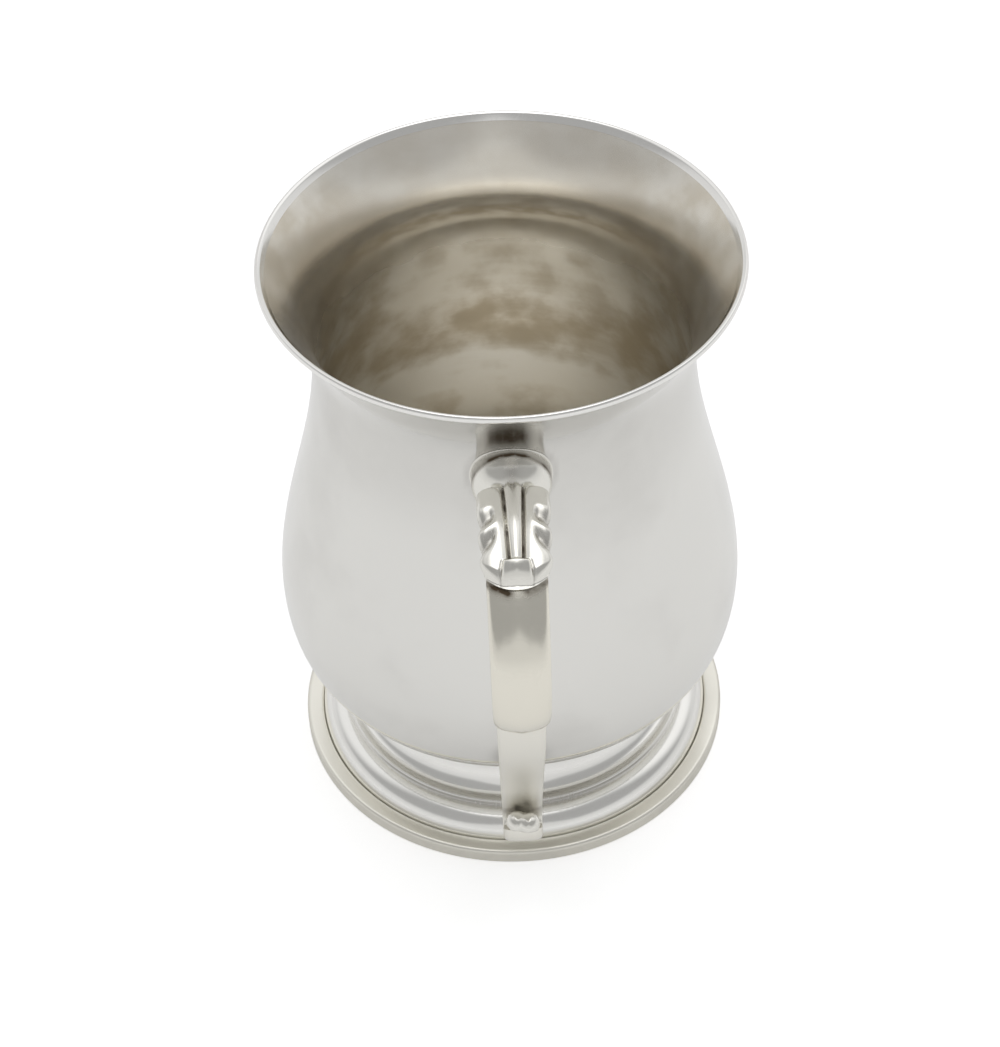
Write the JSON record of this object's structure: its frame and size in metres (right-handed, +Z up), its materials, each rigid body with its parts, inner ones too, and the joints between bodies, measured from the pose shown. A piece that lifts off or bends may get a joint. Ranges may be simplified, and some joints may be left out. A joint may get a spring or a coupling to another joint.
{
  "type": "silver tankard",
  "caption": "Lidless silver pint tankard of baluster form on a stepped spreading foot, with a leaf-capped double-scroll handle.",
  "frame": {"origin": "centre of the resting face under the foot rim, on the body's axis", "axes": "+Z up along the body's axis; the handle points along -Y; +X to the right when the handle faces the viewer"},
  "size_m": [0.0968, 0.1257, 0.1278],
  "materials": {
    "polished_silver": "hand-polished silver, lightly tarnished in the hollows",
    "rim_silver": "polished silver wire, softly worn"
  },
  "bodies": {
    "root": {"body": "polished_silver", "rim_wire": "rim_silver", "foot": "polished_silver", "foot_rim": "rim_silver", "upper_socket": "polished_silver", "upper_scroll_left": "polished_silver", "upper_scroll_right": "polished_silver", "leaf_cap": "polished_silver", "lower_scroll_left": "polished_silver", "lower_scroll_right": "polished_silver", "tail_pellet": "polished_silver", "lower_socket": "polished_silver"}
  },
  "joints": []
}
